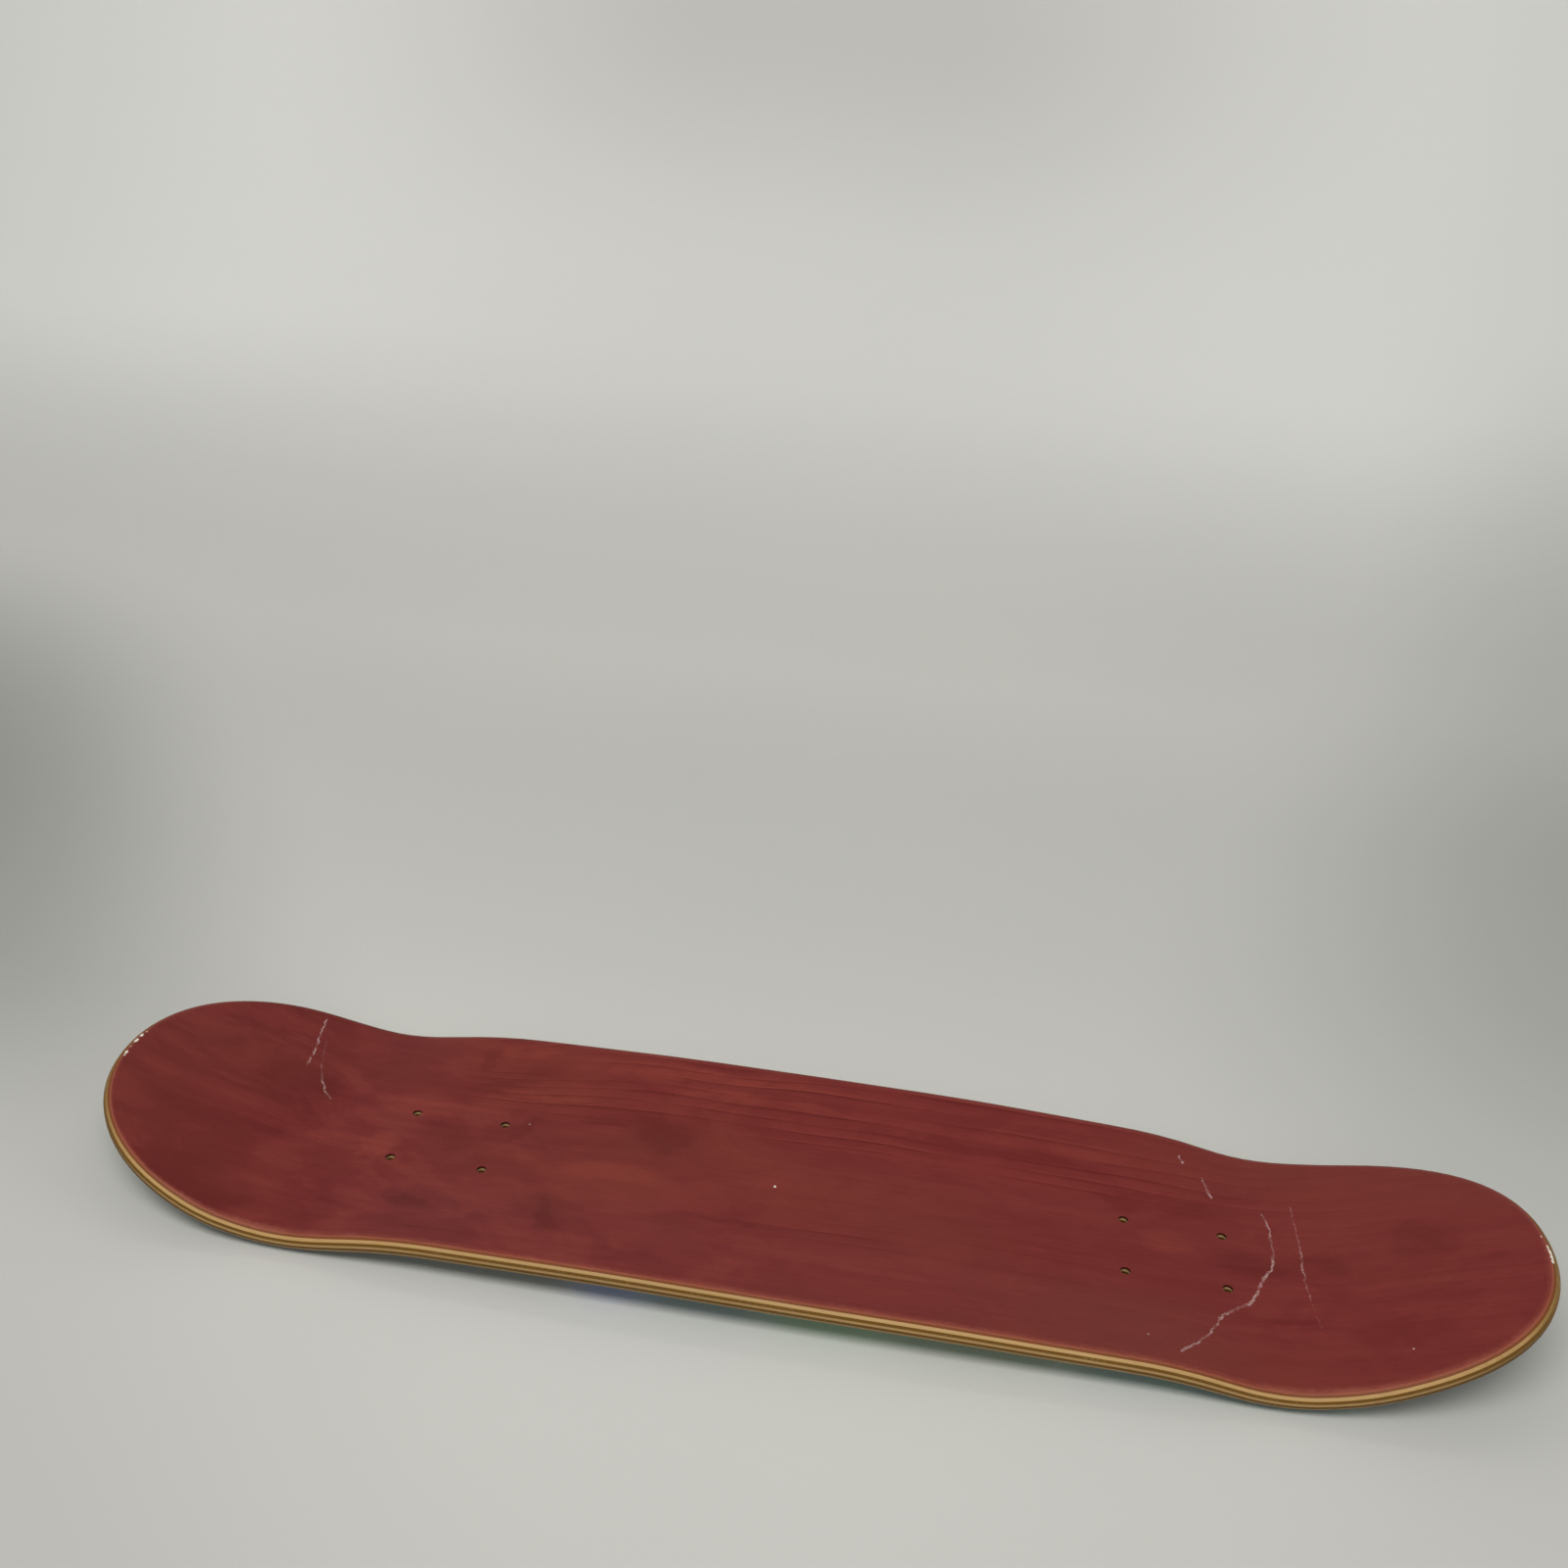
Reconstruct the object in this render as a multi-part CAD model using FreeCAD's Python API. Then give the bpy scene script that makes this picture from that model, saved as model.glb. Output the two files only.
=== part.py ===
import FreeCAD, Part

import math
import os
from collections import namedtuple

# Skateboard deck: seven maple veneers pressed together in a curved mould, sawn
# to the outline, rounded over along both edges and drilled for two trucks.
# Millimetres. X runs from tail to nose, Y across the deck, Z up from the
# surface that the deck rests on. The origin is the middle of length and width.

# Truck bolts
wheelbase = 358.8  # from the tail's inner bolts to the nose's inner bolts
bolt_spacing_along = 53.98
bolt_spacing_across = 41.28
bolt_hole_diameter = 5.5

# Layers
ply_thickness = 1.5
ply_names = (
    "ply_1_top_face",
    "ply_2_long_grain",
    "ply_3_cross_grain",
    "ply_4_core",
    "ply_5_cross_grain",
    "ply_6_long_grain",
    "ply_7_bottom_face",
)

# Outline seen from above; the hip is where a long side turns into an end
deck_width = 196.85
nose_length = 160.9  # from the nose's outer bolts to its tip
nose_hip_taper = 9.2  # how much narrower the deck is at the hip
nose_hip_past_bolts = 1.5
nose_side_share = 0.347  # of hip to tip, that the curve follows the side
nose_tip_share = 0.975  # of half the hip's width, that it follows the blunt tip
tail_length = 167.8
tail_hip_taper = 5.8
tail_hip_past_bolts = 62.2
tail_side_share = 0.599
tail_tip_share = 0.581

# Side view: a flat middle, two truck seats that slope down a little, then the kicks
flat_middle_length = 120.0
seat_bend_length = 60.0
seat_angle = 1.32
nose_kick_angle = 21.6
nose_bend_length = 77.7
nose_bend_past_bolts = 39.4  # from the outer bolts to the middle of the bend
tail_kick_angle = 20.3
tail_bend_length = 67.1
tail_bend_past_bolts = 52.2

# Cross-section: a flat strip for the trucks, a bend on each side, then straight rails
flat_strip_width = 44.0
rail_bend_width = 26.0
concave_depth = 10.8
concave_depth_at_bends = 1.4

# Edges
top_roundover = 5.0
bottom_roundover = 4.8
roundover_limit_share = 0.47  # of the board's thickness, so the two never meet

# The pressed sheet, and the stations that its edge is drawn through
blank_margin = 8.0  # sheet left all round the outline
bend_stations = 3  # for each stretch between two changes of the sheet's curvature
rail_stations = 5
join_tolerance = 0.01
drill_overrun = 10.0
side_stations = 14
end_stations = 12
slope_step = 0.2  # distance over which the slope of the sheet is taken
rest_stations = 400

# Worked out from the sizes above
thickness = ply_thickness * len(ply_names)
inner_bolt = wheelbase / 2
outer_bolt = inner_bolt + bolt_spacing_along
half_width = deck_width / 2
half_strip = flat_strip_width / 2
rail_start = half_strip + rail_bend_width
seat_start = flat_middle_length / 2
seat_slope = math.tan(math.radians(seat_angle))
top_radius = min(top_roundover, thickness * roundover_limit_share)
bottom_radius = min(bottom_roundover, thickness * roundover_limit_share)
truck_middle = (tail_length - nose_length) / 2  # from the middle of the length

End = namedtuple("End", "side reach hip taper side_share tip_share bend_start bend_middle bend_end slope")
nose = End(
    side=1,
    reach=outer_bolt + nose_length,
    hip=outer_bolt + nose_hip_past_bolts,
    taper=nose_hip_taper / 2,
    side_share=nose_side_share,
    tip_share=nose_tip_share,
    bend_start=outer_bolt + nose_bend_past_bolts - nose_bend_length / 2,
    bend_middle=outer_bolt + nose_bend_past_bolts,
    bend_end=outer_bolt + nose_bend_past_bolts + nose_bend_length / 2,
    slope=math.tan(math.radians(nose_kick_angle)),
)
tail = End(
    side=-1,
    reach=outer_bolt + tail_length,
    hip=outer_bolt + tail_hip_past_bolts,
    taper=tail_hip_taper / 2,
    side_share=tail_side_share,
    tip_share=tail_tip_share,
    bend_start=outer_bolt + tail_bend_past_bolts - tail_bend_length / 2,
    bend_middle=outer_bolt + tail_bend_past_bolts,
    bend_end=outer_bolt + tail_bend_past_bolts + tail_bend_length / 2,
    slope=math.tan(math.radians(tail_kick_angle)),
)


def clamp(share):
    return min(max(share, 0.0), 1.0)


def end_at(run):
    return nose if run >= 0 else tail


def spread(low, high, count):
    """Evenly spaced places after low, up to and with high."""
    return [low + (high - low) * step / count for step in range(1, count + 1)]


def turn_up(distance, bend):
    """Height, per unit of final slope, of a line that is level and then bends up evenly."""
    turned = clamp(distance / bend)
    past = max(distance - bend, 0.0)
    return bend * turned ** 2 / 2 + past


def ease(distance, length):
    """Rise from 0 to 1 over a length, level at its start and end."""
    half = length / 2
    return (turn_up(distance, half) - turn_up(distance - half, half)) / half


# The moulded sheet. Here "run" is the distance from the middle between the trucks.


def centre_height(run):
    """Height of the top face on the middle line: flat middle, truck seat, bend, kick."""
    end = end_at(run)
    out = abs(run)
    seat = seat_slope * turn_up(out - seat_start, seat_bend_length)
    kick = end.slope * turn_up(out - end.bend_start, end.bend_end - end.bend_start)
    return kick - seat


def rail_rise(run):
    """How far the rails stand above the flat strip: full depth, fading to none at the tip."""
    end = end_at(run)
    out = abs(run)
    rise = concave_depth
    rise -= (concave_depth - concave_depth_at_bends) * ease(out - inner_bolt, end.bend_middle - inner_bolt)
    return rise - concave_depth_at_bends * ease(out - end.bend_middle, end.reach - end.bend_middle)


def sheet_height(run, across):
    """Height of the top face, from its highest place between the trucks."""
    up_rail = turn_up(abs(across) - half_strip, rail_bend_width)
    whole_rail = turn_up(half_width - half_strip, rail_bend_width)
    return centre_height(run) + rail_rise(run) * up_rail / whole_rail


def rest_height():
    """Depth of the underside's lowest line, on which the deck stands."""
    runs = spread(-tail.reach, nose.reach, rest_stations)
    return thickness - min(centre_height(run) for run in runs)


def divided(places, stations):
    """The places, with evenly spaced stations added between them."""
    made = [places[0]]
    for low, high in zip(places, places[1:]):
        made += spread(low, high, stations)
    return made


def knot_runs(end):
    """Places along one end where the sheet's curvature changes, and more where it bends."""
    half_faded = (inner_bolt + end.bend_middle) / 2
    half_kick = (end.bend_middle + end.reach) / 2
    bent = [inner_bolt, half_faded, end.bend_start, end.bend_middle, end.bend_end, half_kick]
    bent = sorted(bent) + [end.reach + blank_margin]
    return [seat_start, seat_start + seat_bend_length] + divided(bent, bend_stations)


def sheet_point(run, across, depth):
    """Point at a depth below the top face, measured square to it."""
    step = slope_step
    along = sheet_height(run + step, across) - sheet_height(run - step, across)
    sideways = sheet_height(run, across + step) - sheet_height(run, across - step)
    normal = FreeCAD.Vector(-along, -sideways, 2 * step).normalize()
    return FreeCAD.Vector(run + truck_middle, across, sheet_height(run, across) + lift) - normal * depth


def pole_between(start, middle, end):
    """Pole of the parabola through three evenly spaced points."""
    return middle * 2 - (start + end) / 2


def pressed_surface(depth):
    """Surface parallel to the top face, as the veneers lie in the press.

    It is made of parabolas from knot to knot, tangent where they meet.
    """
    runs = [-run for run in reversed(knot_runs(tail))] + knot_runs(nose)
    side = divided([half_strip, rail_start, half_width + blank_margin], rail_stations)
    acrosses = [-across for across in reversed(side)] + side

    def at(run, across):
        return sheet_point(run, across, depth)

    def poles_across(run):
        poles = [at(run, acrosses[0])]
        for low, high in zip(acrosses, acrosses[1:]):
            poles.append(pole_between(at(run, low), at(run, (low + high) / 2), at(run, high)))
        return poles + [at(run, acrosses[-1])]

    poles = [poles_across(runs[0])]
    for low, high in zip(runs, runs[1:]):
        rows = [poles_across(low), poles_across((low + high) / 2), poles_across(high)]
        poles.append([pole_between(*column) for column in zip(*rows)])
    poles.append(poles_across(runs[-1]))
    surface = Part.BSplineSurface()
    surface.buildFromPolesMultsKnots(
        poles,
        [3] + [1] * (len(runs) - 2) + [3],
        [3] + [1] * (len(acrosses) - 2) + [3],
        runs,
        acrosses,
        False,
        False,
        2,
        2,
    )
    return surface


# The outline: each quarter is a long side and an end curve, tangent at the hip.


def along_curve(poles, share):
    """Point at a share of a Bezier curve, and the direction of travel there."""
    while len(poles) > 2:
        poles = [first + (last - first) * share for first, last in zip(poles, poles[1:])]
    first, last = poles
    return first + (last - first) * share, (last - first).normalize()


def quarter_stations(end):
    """Places along one quarter from the middle to the tip, each with the way out of the board."""
    hip_half = half_width - end.taper
    side_slope = 2 * end.taper / end.hip
    side_pull = (end.reach - end.hip) * end.side_share
    middle = FreeCAD.Vector(0, half_width, 0)
    belly = FreeCAD.Vector(end.hip / 2, half_width, 0)
    hip = FreeCAD.Vector(end.hip, hip_half, 0)
    follow = hip + FreeCAD.Vector(side_pull, -side_slope * side_pull, 0)
    blunt = FreeCAD.Vector(end.reach, hip_half * end.tip_share, 0)
    tip = FreeCAD.Vector(end.reach, 0, 0)
    long_side = (middle, belly, hip)
    end_curve = (hip, follow, blunt, tip)
    stations = [along_curve(long_side, 0.0)]
    stations += [along_curve(long_side, share) for share in spread(0.0, 1.0, side_stations)]
    stations += [along_curve(end_curve, share) for share in spread(0.0, 1.0, end_stations)]
    return [(place, FreeCAD.Vector(-way.y, way.x, 0)) for place, way in stations]


def mirrored(stations, along_sign, across_sign):
    def flip(vector):
        return FreeCAD.Vector(vector.x * along_sign, vector.y * across_sign, 0)

    return [(flip(place), flip(outward)) for place, outward in stations]


def end_stations_of(end):
    """Stations round one end, from the middle of one side to the middle of the other."""
    quarter = quarter_stations(end)
    far = mirrored(quarter, end.side, 1)
    near = mirrored(quarter, end.side, -1)
    return far + near[-2::-1]


# The rounded edge. The board is sawn straight down, then a round bit runs along
# the top edge and along the bottom edge, and each arc is tangent to its face.


def edge_inset(depth, tilt):
    """How far the edge lies inside the outline, at a depth below a face that tilts up outward."""
    if depth < top_radius:
        turn = math.asin(depth / top_radius - 1) - tilt
        if turn < 0:
            return top_radius * (1 - math.cos(turn))
    height = thickness - depth
    if height < bottom_radius:
        turn = math.asin(1 - height / bottom_radius) - tilt
        if turn > 0:
            return bottom_radius * (1 - math.cos(turn))
    return 0.0


def point_under(place, depth):
    """Point of the sheet at a depth, straight below or above a place seen from above."""
    foot = place
    for _ in range(4):
        point = sheet_point(foot.x, foot.y, depth)
        foot += FreeCAD.Vector(place.x + truck_middle - point.x, place.y - point.y, 0)
    return sheet_point(foot.x, foot.y, depth)


def edge_point(place, outward, depth):
    """Point of the rounded edge at one station and depth."""
    before = place - outward * slope_step
    beyond = place + outward * slope_step
    rise = sheet_height(beyond.x, beyond.y) - sheet_height(before.x, before.y)
    tilt = math.atan2(rise, 2 * slope_step)
    return point_under(place - outward * edge_inset(depth, tilt), depth)


def middle_depth(upper, lower):
    """Depth halfway along the edge's curve between two depths."""
    if lower <= top_radius:
        turns = [math.acos(1 - depth / top_radius) for depth in (upper, lower)]
        return top_radius * (1 - math.cos(sum(turns) / 2))
    if upper >= thickness - bottom_radius:
        heights = (thickness - upper, thickness - lower)
        turns = [math.acos(1 - height / bottom_radius) for height in heights]
        return thickness - bottom_radius * (1 - math.cos(sum(turns) / 2))
    return (upper + lower) / 2


def line_through(points, parameters):
    line = Part.BSplineCurve()
    line.interpolate(Points=points, Parameters=parameters)
    return line


def edge_surface(end, index):
    """Edge of one ply round one end: smooth along the outline, a parabola across the ply."""
    stations = end_stations_of(end)
    travelled = [0.0]
    for (before, _), (after, _) in zip(stations, stations[1:]):
        travelled.append(travelled[-1] + (after - before).Length)
    upper = ply_thickness * index
    lower = upper + ply_thickness
    rows = []
    for depth in (upper, middle_depth(upper, lower), lower):
        rows.append([edge_point(place, outward, depth) for place, outward in stations])
    rows[1] = [pole_between(*column) for column in zip(rows[0], rows[1], rows[2])]
    lines = [line_through(row, travelled) for row in rows]
    surface = Part.BSplineSurface()
    surface.buildFromPolesMultsKnots(
        [line.getPoles() for line in lines],
        [3, 3],
        lines[0].getMultiplicities(),
        [0.0, 1.0],
        lines[0].getKnots(),
        False,
        False,
        2,
        lines[0].Degree,
    )
    return surface


def rim(surfaces, share):
    """Closed wire along the first or the last line of a ply's two edge surfaces."""
    return Part.Wire([surface.uIso(share).toShape() for surface in surfaces])


def ply_solid(index):
    edges = [edge_surface(end, index) for end in (nose, tail)]
    faces = []
    for share, surface in ((0.0, glue[index]), (1.0, glue[index + 1])):
        face = Part.Face(surface, rim(edges, share))
        face.validate()
        faces.append(face)
    faces += [edge.toShape() for edge in edges]
    shell = Part.makeCompound(faces)
    shell.sewShape(join_tolerance)
    solid = Part.Solid(shell.Shells[0])
    if solid.Volume < 0:
        solid.reverse()
    return solid


def bolt_places():
    """Centres of the eight bolt holes: a rectangle of four for each truck."""
    places = []
    for end in (nose, tail):
        for run in (inner_bolt, outer_bolt):
            for side in (1, -1):
                places.append((end.side * run + truck_middle, side * bolt_spacing_across / 2))
    return places


def drills():
    """Eight straight drills, long enough to pass the whole board from above."""
    reach = thickness + lift + 2 * drill_overrun
    up = FreeCAD.Vector(0, 0, 1)
    tools = []
    for along, across in bolt_places():
        foot = FreeCAD.Vector(along, across, -drill_overrun)
        tools.append(Part.makeCylinder(bolt_hole_diameter / 2, reach, foot, up))
    return Part.makeCompound(tools)


lift = rest_height()
glue = [pressed_surface(ply_thickness * count) for count in range(len(ply_names) + 1)]
bits = drills()

os.makedirs("parts", exist_ok=True)
for index, name in enumerate(ply_names):
    blank = ply_solid(index)
    ply = blank.cut(bits)
    ply.exportStep("parts/" + name + ".step")
    print(name, "solids", len(ply.Solids), "valid", ply.isValid(), "mm3", round(ply.Volume))
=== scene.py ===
# %% [markdown]
# # A bare skateboard deck
# The real thing is seven thin maple veneers, pressed together in a curved mould,
# sawn to a popsicle outline, rounded over along both edges, stained red on top,
# printed underneath and lacquered. It has not been ridden yet: it carries only
# the small scratches and chips of a shelf.
#
# The seven plies come from the CAD model and keep their shapes. What is left to
# do here is their finish: stain, figure, end grain, glue lines, print and wear.
# This first cell loads the plies and keeps the size of the CAD model.

# %% Load the plies
import math

import bpy
import numpy as np
from mathutils import Matrix, Vector


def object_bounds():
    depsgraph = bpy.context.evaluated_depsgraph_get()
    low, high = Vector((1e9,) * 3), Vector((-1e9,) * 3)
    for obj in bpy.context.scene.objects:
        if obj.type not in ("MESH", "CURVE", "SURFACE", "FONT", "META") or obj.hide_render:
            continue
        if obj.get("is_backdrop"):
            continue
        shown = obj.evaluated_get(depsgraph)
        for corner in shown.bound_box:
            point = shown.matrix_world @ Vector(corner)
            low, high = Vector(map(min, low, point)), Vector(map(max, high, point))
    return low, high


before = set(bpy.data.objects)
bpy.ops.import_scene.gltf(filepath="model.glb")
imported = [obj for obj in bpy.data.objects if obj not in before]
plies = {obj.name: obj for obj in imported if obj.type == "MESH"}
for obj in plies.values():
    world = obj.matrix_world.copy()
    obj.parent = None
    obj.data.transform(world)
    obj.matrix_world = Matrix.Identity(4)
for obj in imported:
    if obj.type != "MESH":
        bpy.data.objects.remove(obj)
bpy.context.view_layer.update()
MM = 1000.0  # millimetres in a metre; everything in Blender is in metres
print("plies:", ", ".join(sorted(plies)))

# %% [markdown]
# ## The viewpoint
# The photograph was taken by hand from the long side, about 60 cm above the
# floor, with the nose nearer than the tail. The camera was worked out from the
# eight truck holes, which are a known rectangle pattern, and from the outline.
# A camera could be aimed with a constraint, but three directions written down
# keep its slight roll as well.

# %% Camera
camera_place = Vector((0.07939, -0.69584, 0.59946))
camera_forward = Vector((-0.127567, 0.893704, -0.430139))
camera_right = Vector((0.984573, 0.166472, 0.053884))
focal_share = 1608.07 / 1600  # focal length as a share of the picture's width


def camera_at(place, forward, right, share):
    """Camera whose axes are given: it looks along forward, and right points to the picture's right."""
    data = bpy.data.cameras.new("photo_view")
    data.sensor_width = 36.0
    data.lens = data.sensor_width * share
    data.clip_start = 0.01
    data.clip_end = 50.0
    camera = bpy.data.objects.new("photo_view", data)
    bpy.context.scene.collection.objects.link(camera)
    back = -forward.normalized()
    up = back.cross(right).normalized()
    side = up.cross(back)
    camera.matrix_world = Matrix.Translation(place) @ Matrix((side, up, back)).transposed().to_4x4()
    return camera


bpy.context.scene.camera = camera_at(camera_place, camera_forward, camera_right, focal_share)
print("lens:", round(bpy.context.scene.camera.data.lens, 2), "mm")

# %% [markdown]
# ## Writing formulas as nodes
# A finish is a formula: how much stain, how dark a growth ring, how deep below
# the face. Placing Math nodes by hand hides that formula in wires. The small
# class below lets it be written as it is said: adding or multiplying two terms
# places the Math node and joins it. Vectors have a few helpers of their own.


# %% Terms
def feed(socket, value):
    """Join a term to a socket, or set the socket to a plain number or colour."""
    if isinstance(value, Term):
        value.tree.links.new(value.socket, socket)
    else:
        socket.default_value = value


class Term:
    """A number or vector that changes over the surface."""

    def __init__(self, tree, socket):
        self.tree = tree
        self.socket = socket

    def math(self, operation, *others):
        """A Math node with this term first, and the others as they are given."""
        node = self.tree.nodes.new("ShaderNodeMath")
        node.operation = operation
        for socket, value in zip(node.inputs, (self,) + others):
            feed(socket, value)
        return Term(self.tree, node.outputs[0])

    def __add__(self, other):
        return self.math("ADD", other)

    def __radd__(self, other):
        return self.math("ADD", other)

    def __sub__(self, other):
        return self.math("SUBTRACT", other)

    def __rsub__(self, other):
        return self.math("MULTIPLY", -1.0).math("ADD", other)

    def __mul__(self, other):
        return self.math("MULTIPLY", other)

    def __rmul__(self, other):
        return self.math("MULTIPLY", other)

    def __truediv__(self, other):
        return self.math("DIVIDE", other)

    def __neg__(self):
        return self.math("MULTIPLY", -1.0)

    def step(self, low, high):
        """0 below low, 1 above high, and a smooth rise between."""
        node = self.tree.nodes.new("ShaderNodeMapRange")
        node.interpolation_type = "SMOOTHSTEP"
        feed(node.inputs["Value"], self)
        feed(node.inputs["From Min"], low)
        feed(node.inputs["From Max"], high)
        return Term(self.tree, node.outputs["Result"])

    def clamped(self):
        """The term kept between 0 and 1."""
        node = self.tree.nodes.new("ShaderNodeClamp")
        feed(node.inputs["Value"], self)
        return Term(self.tree, node.outputs[0])

    def parts(self):
        """The three parts of a vector."""
        node = self.tree.nodes.new("ShaderNodeSeparateXYZ")
        feed(node.inputs[0], self)
        return [Term(self.tree, socket) for socket in node.outputs]

    def stretched(self, x, y, z):
        """The vector with each part multiplied by its own number."""
        node = self.tree.nodes.new("ShaderNodeVectorMath")
        node.operation = "MULTIPLY"
        feed(node.inputs[0], self)
        node.inputs[1].default_value = (x, y, z)
        return Term(self.tree, node.outputs[0])

    def moved(self, x, y, z):
        """The vector with a number added to each part, so that its noise is read elsewhere."""
        node = self.tree.nodes.new("ShaderNodeVectorMath")
        node.operation = "ADD"
        feed(node.inputs[0], self)
        node.inputs[1].default_value = (x, y, z)
        return Term(self.tree, node.outputs[0])

    def noise(self, scale, detail=2.0, roughness=0.5, distortion=0.0):
        """Soft noise between 0 and 1, read at this place."""
        node = self.tree.nodes.new("ShaderNodeTexNoise")
        feed(node.inputs["Vector"], self)
        node.inputs["Scale"].default_value = scale
        node.inputs["Detail"].default_value = detail
        node.inputs["Roughness"].default_value = roughness
        node.inputs["Distortion"].default_value = distortion
        return Term(self.tree, node.outputs["Fac"])

    def blend(self, low, high):
        """Colour between low, where this term is 0, and high, where it is 1."""
        node = self.tree.nodes.new("ShaderNodeMix")
        node.data_type = "RGBA"
        feed(node.inputs["Factor"], self)
        feed(node.inputs[6], low)  # a Mix node's inputs 6 and 7 and output 2 carry colours
        feed(node.inputs[7], high)
        return Term(self.tree, node.outputs[2])


print("a Term joins nodes by + - * / and by its helpers: step, noise, blend and others")

# %% [markdown]
# A few shapes come back often: the smaller or larger of two terms, the length of
# two parts, and a bell curve, which is 1 in its middle and fades smoothly. They
# get a name each. Colours are written as a screen shows them, because that is
# how they are read off a picture; the shader wants the light that they stand for.


# %% Small formulas
def least(first, second):
    return first.math("MINIMUM", second)


def most(first, second):
    return first.math("MAXIMUM", second)


def length_of(first, second):
    """Square root of both squares added."""
    return (first * first + second * second).math("SQRT")


def bell(first, second=None):
    """e to the power of minus the squares: 1 where the terms are 0, fading around it."""
    squares = first * first if second is None else first * first + second * second
    return (-squares).math("EXPONENT")


def coordinates(tree, name="Object"):
    """Place or normal on the object, the same from every view."""
    node = tree.nodes.new("ShaderNodeTexCoord")
    return Term(tree, node.outputs[name])


def paint(red, green, blue):
    """Colour given as a screen shows it, 0 to 255, turned into the light it stands for."""
    shares = np.array([red, green, blue]) / 255
    light = np.where(shares <= 0.04045, shares / 12.92, ((shares + 0.055) / 1.055) ** 2.4)
    return tuple(float(value) for value in light) + (1.0,)


print("a mid red:", [round(value, 3) for value in paint(170, 80, 70)])

# %% [markdown]
# ## Node groups
# Several finishes need the same thing, such as the depth below the top face or
# the figure of the wood. Each is a node group with named inputs and outputs,
# built once. The two helpers here make a group's tree and place a copy of it.

# %% Groups
SOCKETS = {"float": "NodeSocketFloat", "vector": "NodeSocketVector", "colour": "NodeSocketColor"}


def new_group(name, inputs, outputs):
    """Empty group; inputs and outputs are pairs of a name and float, vector or colour."""
    tree = bpy.data.node_groups.new(name, "ShaderNodeTree")
    for label, kind in inputs:
        tree.interface.new_socket(name=label, in_out="INPUT", socket_type=SOCKETS[kind])
    for label, kind in outputs:
        tree.interface.new_socket(name=label, in_out="OUTPUT", socket_type=SOCKETS[kind])
    start = tree.nodes.new("NodeGroupInput")
    end = tree.nodes.new("NodeGroupOutput")
    given = {label: Term(tree, start.outputs[label]) for label, _ in inputs}
    wanted = {label: end.inputs[label] for label, _ in outputs}
    return tree, given, wanted


def place_group(tree, group, **given):
    """Copy of a group in a tree, with its inputs fed by name; gives its outputs by name."""
    node = tree.nodes.new("ShaderNodeGroup")
    node.node_tree = group
    for label, value in given.items():
        feed(node.inputs[label.replace("_", " ")], value)
    return {socket.name: Term(tree, socket) for socket in node.outputs}


print("kinds of socket:", ", ".join(SOCKETS))

# %% [markdown]
# ## The pressed form, as a formula
# Stain stops where the edge was sanded, and a glue line shows at every 1.5 mm.
# Both need one number: how deep a point lies below the top face. The mould's
# form is a formula of the distance along the deck and across it, so the depth
# can be worked out for any point. An image painted by hand would also do, but
# only for one shape of deck, and it would go soft close up.
#
# "Bend up" is the piece that all of it is made of: the height of a line that is
# level, bends evenly over a length, and then goes on straight.

# %% Bend up
bend_up, given, wanted = new_group(
    "Bend up", [("Distance", "float"), ("Length", "float")], [("Height", "float")]
)
turned = (given["Distance"] / given["Length"]).clamped()
past = most(given["Distance"] - given["Length"], 0.0)
feed(wanted["Height"], given["Length"] * turned * turned / 2 + past)
print("Bend up has", len(bend_up.nodes), "nodes")

# %% [markdown]
# The depth follows the same sizes as the CAD source, in millimetres: a flat
# middle, truck seats that fall a little, the two kicks, and rails whose height
# fades towards the tips. Nose and tail have their own sizes.

# %% Sizes of the deck
TRUCK_MIDDLE = 3.45  # from the middle of the length to the middle between the trucks
INNER_BOLT = 179.4
LIFT = 14.28  # height of the flat middle's top face
SEAT_START, SEAT_BEND = 60.0, 60.0
SEAT_SLOPE = math.tan(math.radians(1.32))
PLY = 1.5  # thickness of a veneer
RAIL_START, RAIL_BEND, HALF_WIDTH = 22.0, 26.0, 98.425
CONCAVE, CONCAVE_AT_BENDS = 10.8, 1.4
TAIL = {"start": 252.0, "length": 67.1, "middle": 285.6, "reach": 401.2, "kick": 20.3}
NOSE = {"start": 233.9, "length": 77.7, "middle": 272.8, "reach": 394.3, "kick": 21.6}
# The outline: half width less taper * run^2, closed by a rounded end of two powers
TAIL.update(round_from=292.9, power_along=2.273, power_across=2.076)
TAIL.update(taper=2.9 / 295.6**2, taper_end=350.6)
NOSE.update(round_from=237.1, power_along=3.406, power_across=2.176)
NOSE.update(taper=4.6 / 234.9**2, taper_end=341.1)
for tip in (TAIL, NOSE):
    tip["slope"] = math.tan(math.radians(tip["kick"]))
print("kicks in degrees:", TAIL["kick"], "at the tail and", NOSE["kick"], "at the nose")

# %% [markdown]
# Measured straight down, the depth would come out too large on the kicks, where
# the sheet leans. It is multiplied by the cosine of the lean, which is one over
# the square root of 1 + slope squared.


# %% Depth below the top face
def bend(distance, length):
    return place_group(distance.tree, bend_up, Distance=distance, Length=length)["Height"]


def ease(distance, length):
    """Rise from 0 to 1 over a length: two even bends, the second turning back."""
    half = length * 0.5
    return (bend(distance, half) - bend(distance - half, half)) / half


sheet_depth, given, wanted = new_group(
    "Sheet depth",
    [("Place", "vector")],
    [("Depth", "float"), ("Run", "float"), ("Across", "float"), ("Inside", "float")],
)
x, y, z = given["Place"].parts()
run = x * MM - TRUCK_MIDDLE
out = run.math("ABSOLUTE")
across = (y * MM).math("ABSOLUTE")
is_nose = run.math("GREATER_THAN", 0.0)


def of_end(name):
    """A size of the nose on its side of the middle, and of the tail on the other."""
    return is_nose * (NOSE[name] - TAIL[name]) + TAIL[name]


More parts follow.
